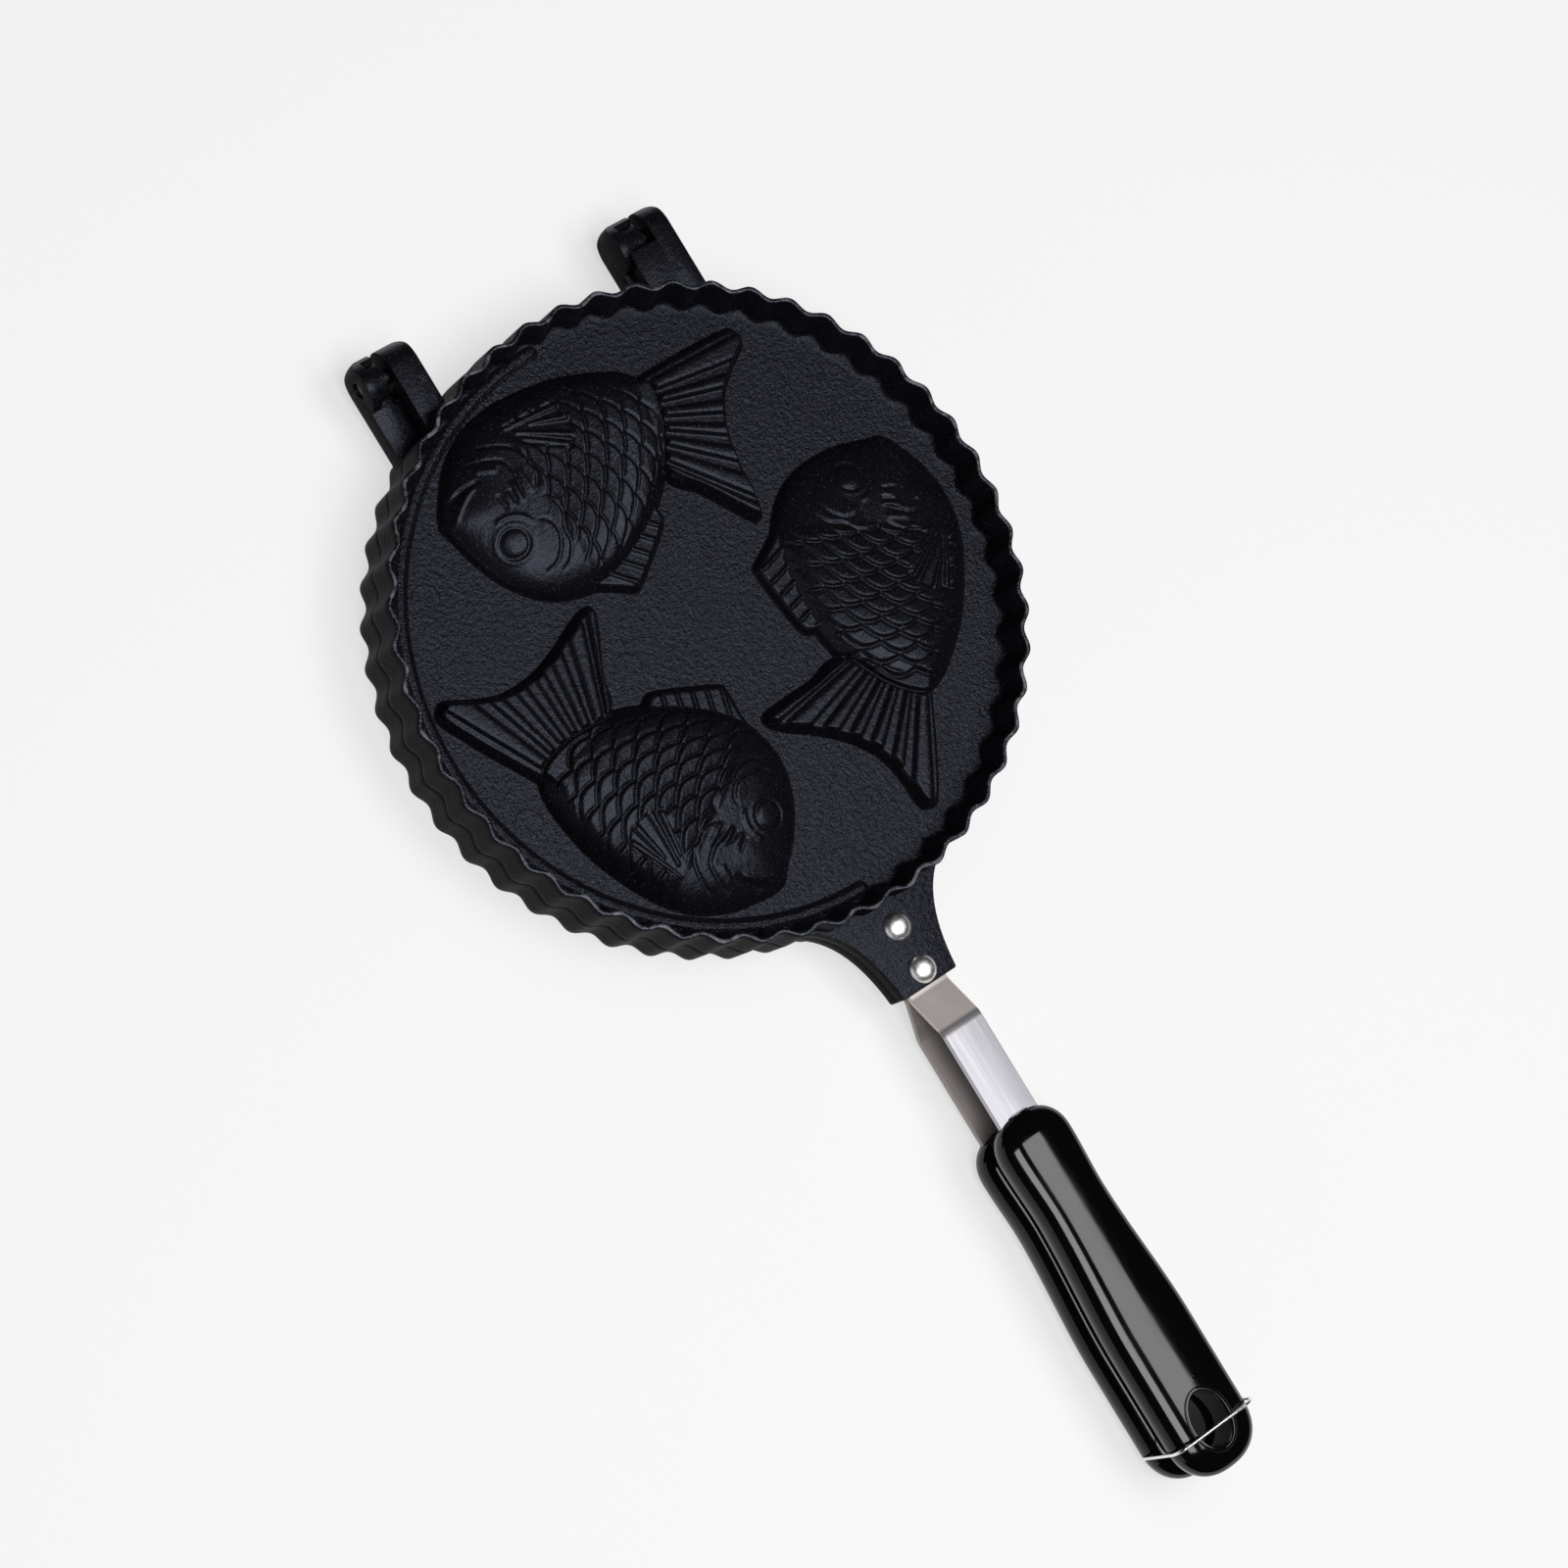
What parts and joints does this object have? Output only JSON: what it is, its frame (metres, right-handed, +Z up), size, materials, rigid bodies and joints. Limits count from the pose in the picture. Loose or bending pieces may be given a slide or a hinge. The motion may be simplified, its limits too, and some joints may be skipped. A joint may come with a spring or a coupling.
{
  "type": "fish-shaped cake pan",
  "caption": "Round hinged cast pan that bakes fish-shaped filled cakes between its fluted halves, with long grips and a wire bail to hold it shut.",
  "frame": {"origin": "middle of the bounding box in X and Y, on the surface that the closed pan stands on", "axes": "+Y from the handles towards the hinge, +Z up through the closed pan, +X across it"},
  "size_m": [0.2068, 0.423, 0.0336],
  "materials": {
    "coating": "satin charcoal non-stick coating on cast aluminium",
    "strip": "brushed flat steel, slightly heat-tinted at the bend",
    "rivet": "polished domed rivet",
    "grip": "glossy black moulded plastic",
    "pin": "plain steel pin",
    "wire": "bright drawn wire"
  },
  "bodies": {
    "lower_half": {"lower_mould": "coating", "lower_strip": "strip", "lower_rivet_front": "rivet", "lower_rivet_rear": "rivet", "lower_grip": "grip"},
    "upper_half": {"upper_mould": "coating", "upper_strip": "strip", "upper_rivet_front": "rivet", "upper_rivet_rear": "rivet", "upper_grip": "grip", "hinge_pin_left": "pin", "hinge_pin_right": "pin"},
    "bail": {"bail": "wire"}
  },
  "joints": [
    {"name": "lid_hinge", "type": "hinge", "parent": "lower_half", "child": "upper_half", "pos_m": [0, 0.20355, 0.01615], "axis": [-1, 0, 0], "range_deg": [0, 180]},
    {"name": "bail_swing", "type": "hinge", "parent": "lower_half", "child": "bail", "pos_m": [0, -0.19785, 0.0069], "axis": [1, 0, 0], "range_deg": [0, 180]}
  ]
}
